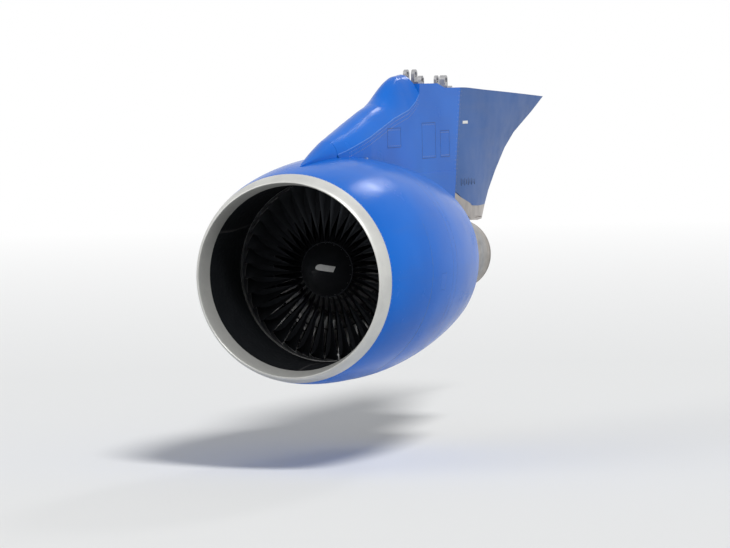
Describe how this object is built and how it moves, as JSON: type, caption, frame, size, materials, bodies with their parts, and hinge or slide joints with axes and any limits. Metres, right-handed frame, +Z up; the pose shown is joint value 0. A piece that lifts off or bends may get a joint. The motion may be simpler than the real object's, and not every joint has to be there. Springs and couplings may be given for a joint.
{
  "type": "podded turbofan engine",
  "caption": "High-bypass turbofan in a blue nacelle with bare lip, split fan nozzle and core nozzle, hung from a faired wing strut.",
  "frame": {"origin": "centre of the forward wing link's bore, on top of the strut, in the middle plane", "axes": "+Y aft along the engine axis, +Z up, +X outboard, towards the side with the oil service door"},
  "size_m": [2.4796, 8.7847, 3.428],
  "materials": {
    "blue_paint": "gloss",
    "pale_blue_paint": "satin",
    "bare_aluminium": "polished",
    "heat_shield_metal": "satin",
    "dark_acoustic_liner": "matt",
    "dark_spinner": "satin",
    "steel": "satin",
    "blade_titanium": "satin",
    "hot_alloy": "heat tinted",
    "primer": "matt",
    "composite": "satin"
  },
  "bodies": {
    "fixed_structure": {"strut_nose_fairing": "blue_paint", "strut_crown_fairing": "blue_paint", "strut_box": "blue_paint", "strut_aft_fairing": "pale_blue_paint", "strut_heat_shield": "heat_shield_metal", "wing_link_fitting": "steel", "spar_fittings": "steel", "cowl_hinge_fittings": "steel", "front_engine_mount": "steel", "rear_engine_mount": "steel", "thrust_links": "steel", "inlet_lip": "bare_aluminium", "inlet_outer_barrel": "blue_paint", "inlet_liner": "dark_acoustic_liner", "inlet_bulkheads": "primer", "fan_case": "bare_aluminium", "outlet_guide_vanes": "bare_aluminium", "fan_frame": "steel", "booster_case": "bare_aluminium", "compressor_case": "steel", "combustor_case": "hot_alloy", "combustor_liner": "hot_alloy", "fuel_manifold": "steel", "turbine_case": "hot_alloy", "exhaust_case": "hot_alloy", "exhaust_nozzle": "hot_alloy", "exhaust_plug": "hot_alloy", "accessory_gearbox": "bare_aluminium", "oil_tank": "bare_aluminium", "starter": "steel", "main_bearings": "steel"},
    "fan_spool": {"fan_blades": "blade_titanium", "fan_disk": "steel", "spinner": "dark_spinner", "booster_rotor": "steel", "long_shaft": "steel", "low_turbine_rotor": "hot_alloy"},
    "core_spool": {"core_compressor_rotor": "steel", "core_turbine_rotor": "hot_alloy"},
    "fan_cowl_left": {"fan_cowl_left": "blue_paint"},
    "fan_cowl_right": {"fan_cowl_right": "blue_paint"},
    "oil_door": {"oil_door": "blue_paint"},
    "fan_latch_front": {"fan_latch_front": "bare_aluminium"},
    "fan_latch_rear": {"fan_latch_rear": "bare_aluminium"},
    "duct_left": {"duct_left": "blue_paint", "cascade_left": "bare_aluminium"},
    "duct_right": {"duct_right": "blue_paint", "cascade_right": "bare_aluminium"},
    "sleeve_left": {"sleeve_left": "blue_paint"},
    "sleeve_right": {"sleeve_right": "blue_paint"},
    "reverser_latch_front": {"reverser_latch_front": "bare_aluminium"},
    "reverser_latch_rear": {"reverser_latch_rear": "bare_aluminium"},
    "blocker_left_1": {"blocker_left_1": "composite"},
    "blocker_left_2": {"blocker_left_2": "composite"},
    "blocker_left_3": {"blocker_left_3": "composite"},
    "blocker_left_4": {"blocker_left_4": "composite"},
    "blocker_right_1": {"blocker_right_1": "composite"},
    "blocker_right_2": {"blocker_right_2": "composite"},
    "blocker_right_3": {"blocker_right_3": "composite"},
    "blocker_right_4": {"blocker_right_4": "composite"}
  },
  "joints": [
    {"name": "fan_spool_spin", "type": "hinge", "parent": "fixed_structure", "child": "fan_spool", "pos_m": [0, -2.645, -2.13], "axis": [0, 1, 0], "continuous": true},
    {"name": "core_spool_spin", "type": "hinge", "parent": "fixed_structure", "child": "core_spool", "pos_m": [0, -1.55, -2.13], "axis": [0, 1, 0], "continuous": true},
    {"name": "fan_cowl_left_hinge", "type": "hinge", "parent": "fixed_structure", "child": "fan_cowl_left", "pos_m": [-0.246, -2.35, -0.93], "axis": [0, 1, 0], "range_deg": [0, 50]},
    {"name": "duct_left_hinge", "type": "hinge", "parent": "fixed_structure", "child": "duct_left", "pos_m": [-0.246, -2.09, -0.93], "axis": [0, 0.9921, -0.1253], "range_deg": [0, 45]},
    {"name": "sleeve_left_slide", "type": "slide", "parent": "duct_left", "child": "sleeve_left", "axis": [0, 1, 0], "range_m": [0, 0.38]},
    {"name": "fan_cowl_right_hinge", "type": "hinge", "parent": "fixed_structure", "child": "fan_cowl_right", "pos_m": [0.246, -2.35, -0.93], "axis": [0, -1, 0], "range_deg": [0, 50]},
    {"name": "duct_right_hinge", "type": "hinge", "parent": "fixed_structure", "child": "duct_right", "pos_m": [0.246, -2.09, -0.93], "axis": [0, -0.9921, 0.1253], "range_deg": [0, 45]},
    {"name": "sleeve_right_slide", "type": "slide", "parent": "duct_right", "child": "sleeve_right", "axis": [0, 1, 0], "range_m": [0, 0.38]},
    {"name": "oil_door_hinge", "type": "hinge", "parent": "fan_cowl_right", "child": "oil_door", "pos_m": [1.23316, -2.35, -2.193], "axis": [0.0253, -0.9997, 0], "range_deg": [0, 100]},
    {"name": "fan_latch_front_hinge", "type": "hinge", "parent": "fan_cowl_left", "child": "fan_latch_front", "pos_m": [-0.158, -2.55, -3.35522], "axis": [0, 0.9999, -0.0125], "range_deg": [0, 100]},
    {"name": "fan_latch_rear_hinge", "type": "hinge", "parent": "fan_cowl_left", "child": "fan_latch_rear", "pos_m": [-0.158, -2.15, -3.34574], "axis": [0, 0.9986, 0.0532], "range_deg": [0, 100]},
    {"name": "reverser_latch_front_hinge", "type": "hinge", "parent": "duct_left", "child": "reverser_latch_front", "pos_m": [-0.074, -1.65, -3.31233], "axis": [0, 0.9939, 0.1105], "range_deg": [0, 100]},
    {"name": "reverser_latch_rear_hinge", "type": "hinge", "parent": "duct_left", "child": "reverser_latch_rear", "pos_m": [-0.074, -0.95, -3.20898], "axis": [0, 0.9837, 0.1799], "range_deg": [0, 100]},
    {"name": "blocker_left_1_hinge", "type": "hinge", "parent": "sleeve_left", "child": "blocker_left_1", "pos_m": [-0.59691, -1.798, -1.35908], "axis": [-0.7907, 0, -0.6122], "range_deg": [0, 80]},
    {"name": "blocker_left_2_hinge", "type": "hinge", "parent": "sleeve_left", "child": "blocker_left_2", "pos_m": [-0.94706, -1.798, -1.89826], "axis": [-0.2377, 0, -0.9713], "range_deg": [0, 80]},
    {"name": "blocker_left_3_hinge", "type": "hinge", "parent": "sleeve_left", "child": "blocker_left_3", "pos_m": [-0.88544, -1.798, -2.53819], "axis": [0.4187, 0, -0.9081], "range_deg": [0, 80]},
    {"name": "blocker_left_4_hinge", "type": "hinge", "parent": "sleeve_left", "child": "blocker_left_4", "pos_m": [-0.43885, -1.798, -3.00065], "axis": [0.893, 0, -0.4501], "range_deg": [0, 80]},
    {"name": "blocker_right_1_hinge", "type": "hinge", "parent": "sleeve_right", "child": "blocker_right_1", "pos_m": [0.59691, -1.798, -1.35908], "axis": [-0.7907, 0, 0.6122], "range_deg": [0, 80]},
    {"name": "blocker_right_2_hinge", "type": "hinge", "parent": "sleeve_right", "child": "blocker_right_2", "pos_m": [0.94706, -1.798, -1.89826], "axis": [-0.2377, 0, 0.9713], "range_deg": [0, 80]},
    {"name": "blocker_right_3_hinge", "type": "hinge", "parent": "sleeve_right", "child": "blocker_right_3", "pos_m": [0.88544, -1.798, -2.53819], "axis": [0.4187, 0, 0.9081], "range_deg": [0, 80]},
    {"name": "blocker_right_4_hinge", "type": "hinge", "parent": "sleeve_right", "child": "blocker_right_4", "pos_m": [0.43885, -1.798, -3.00065], "axis": [0.893, 0, 0.4501], "range_deg": [0, 80]}
  ],
  "couplings": [
    {"joint": "sleeve_right_slide", "follows": "sleeve_left_slide", "ratio": 1},
    {"joint": "blocker_left_1_hinge", "follows": "sleeve_left_slide", "rad_per_m": 3.674},
    {"joint": "blocker_left_2_hinge", "follows": "sleeve_left_slide", "rad_per_m": 3.674},
    {"joint": "blocker_left_3_hinge", "follows": "sleeve_left_slide", "rad_per_m": 3.674},
    {"joint": "blocker_left_4_hinge", "follows": "sleeve_left_slide", "rad_per_m": 3.674},
    {"joint": "blocker_right_1_hinge", "follows": "sleeve_left_slide", "rad_per_m": 3.674},
    {"joint": "blocker_right_2_hinge", "follows": "sleeve_left_slide", "rad_per_m": 3.674},
    {"joint": "blocker_right_3_hinge", "follows": "sleeve_left_slide", "rad_per_m": 3.674},
    {"joint": "blocker_right_4_hinge", "follows": "sleeve_left_slide", "rad_per_m": 3.674}
  ]
}
